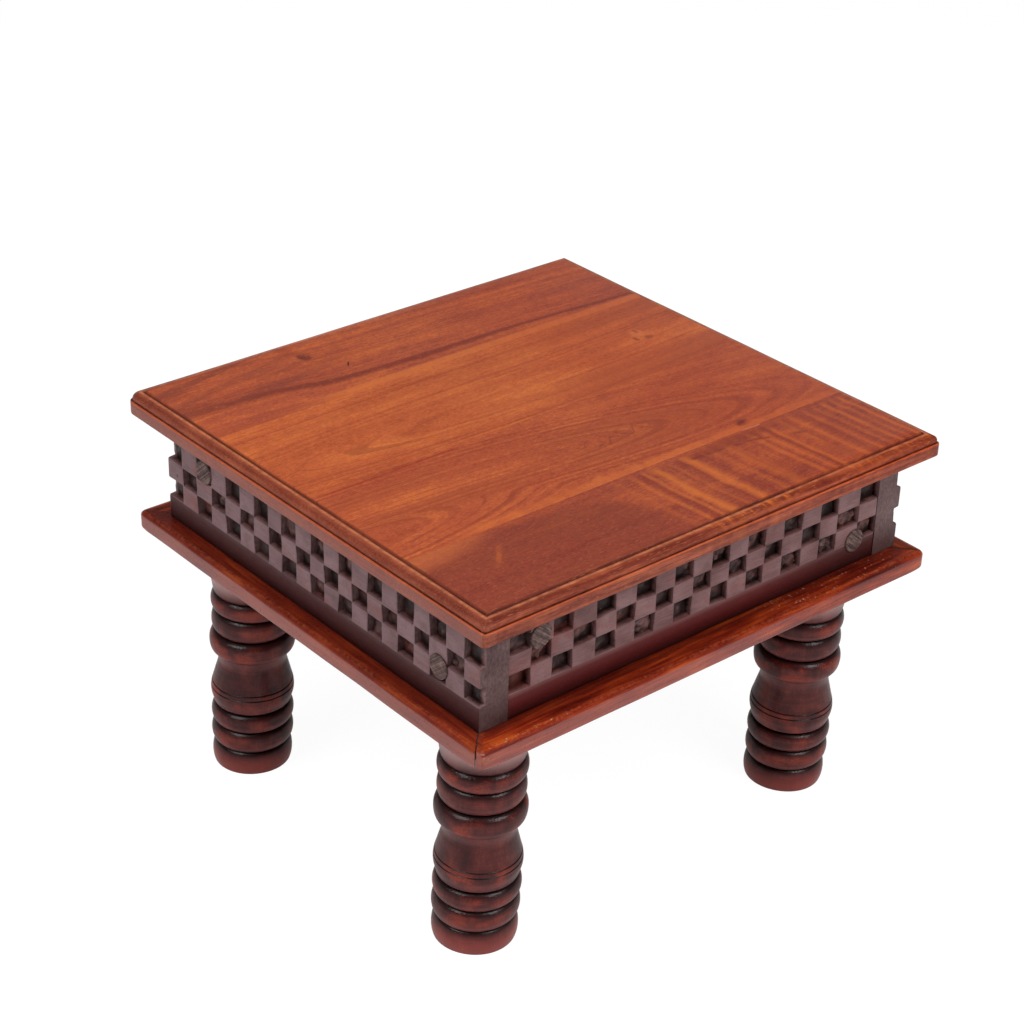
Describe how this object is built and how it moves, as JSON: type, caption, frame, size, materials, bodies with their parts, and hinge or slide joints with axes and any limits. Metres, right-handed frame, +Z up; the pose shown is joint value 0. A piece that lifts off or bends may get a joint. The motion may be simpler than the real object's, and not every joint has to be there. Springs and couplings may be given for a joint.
{
  "type": "low table",
  "caption": "Low square table of dark varnished hardwood with a moulded board top, chequer-carved pegged aprons on a mitred rail frame, and turned legs.",
  "frame": {"origin": "on the floor, under the middle of the top", "axes": "+Z up, +X along the boards of the top, +Y from the front to the back"},
  "size_m": [0.39, 0.375, 0.278],
  "materials": {
    "top_board_front": "glossy varnish over dark reddish figured hardwood",
    "top_board_front_middle": "glossy varnish over orange-brown hardwood with arched grain",
    "top_board_back_middle": "glossy varnish over orange hardwood with dark grain lines",
    "top_board_back": "glossy varnish over reddish hardwood with a dark streak and knots",
    "apron_wood": "varnish over dark hand-carved hardwood, chequer of raised and sunk cells",
    "rail_wood": "glossy varnish over deep red-brown hardwood",
    "leg_wood": "glossy varnish over turned dark red-brown hardwood",
    "peg_wood": "greyish sawn end grain, thinly varnished",
    "pin_wood": "varnished end grain",
    "batten_wood": "plain sawn softwood, unvarnished",
    "nail_steel": "dull steel",
    "screw_steel": "yellowish plated steel"
  },
  "bodies": {
    "root": {"apron_back": "apron_wood", "apron_front": "apron_wood", "apron_left": "apron_wood", "apron_nail_back_left": "nail_steel", "apron_nail_back_right": "nail_steel", "apron_right": "apron_wood", "batten_left": "batten_wood", "batten_nail_left_back": "nail_steel", "batten_nail_left_front": "nail_steel", "batten_nail_right_back": "nail_steel", "batten_nail_right_front": "nail_steel", "batten_right": "batten_wood", "batten_screw_left_1": "screw_steel", "batten_screw_left_2": "screw_steel", "batten_screw_left_3": "screw_steel", "batten_screw_left_4": "screw_steel", "batten_screw_right_1": "screw_steel", "batten_screw_right_2": "screw_steel", "batten_screw_right_3": "screw_steel", "batten_screw_right_4": "screw_steel", "leg_back_left": "leg_wood", "leg_back_right": "leg_wood", "leg_front_left": "leg_wood", "leg_front_right": "leg_wood", "mitre_pin_back_left": "pin_wood", "mitre_pin_back_right": "pin_wood", "mitre_pin_front_left": "pin_wood", "mitre_pin_front_right": "pin_wood", "peg_back_left_in_back_apron": "peg_wood", "peg_back_left_in_left_apron": "peg_wood", "peg_back_right_in_back_apron": "peg_wood", "peg_back_right_in_right_apron": "peg_wood", "peg_front_left_in_front_apron": "peg_wood", "peg_front_left_in_left_apron": "peg_wood", "peg_front_right_in_front_apron": "peg_wood", "peg_front_right_in_right_apron": "peg_wood", "rail_back": "rail_wood", "rail_front": "rail_wood", "rail_left": "rail_wood", "rail_nail_back_left_in_back": "nail_steel", "rail_nail_back_left_in_left": "nail_steel", "rail_nail_back_right_in_back": "nail_steel", "rail_nail_back_right_in_right": "nail_steel", "rail_nail_front_left_in_front": "nail_steel", "rail_nail_front_left_in_left": "nail_steel", "rail_nail_front_right_in_front": "nail_steel", "rail_nail_front_right_in_right": "nail_steel", "rail_right": "rail_wood", "top_board_back": "top_board_back", "top_board_back_middle": "top_board_back_middle", "top_board_front": "top_board_front", "top_board_front_middle": "top_board_front_middle"}
  },
  "joints": []
}
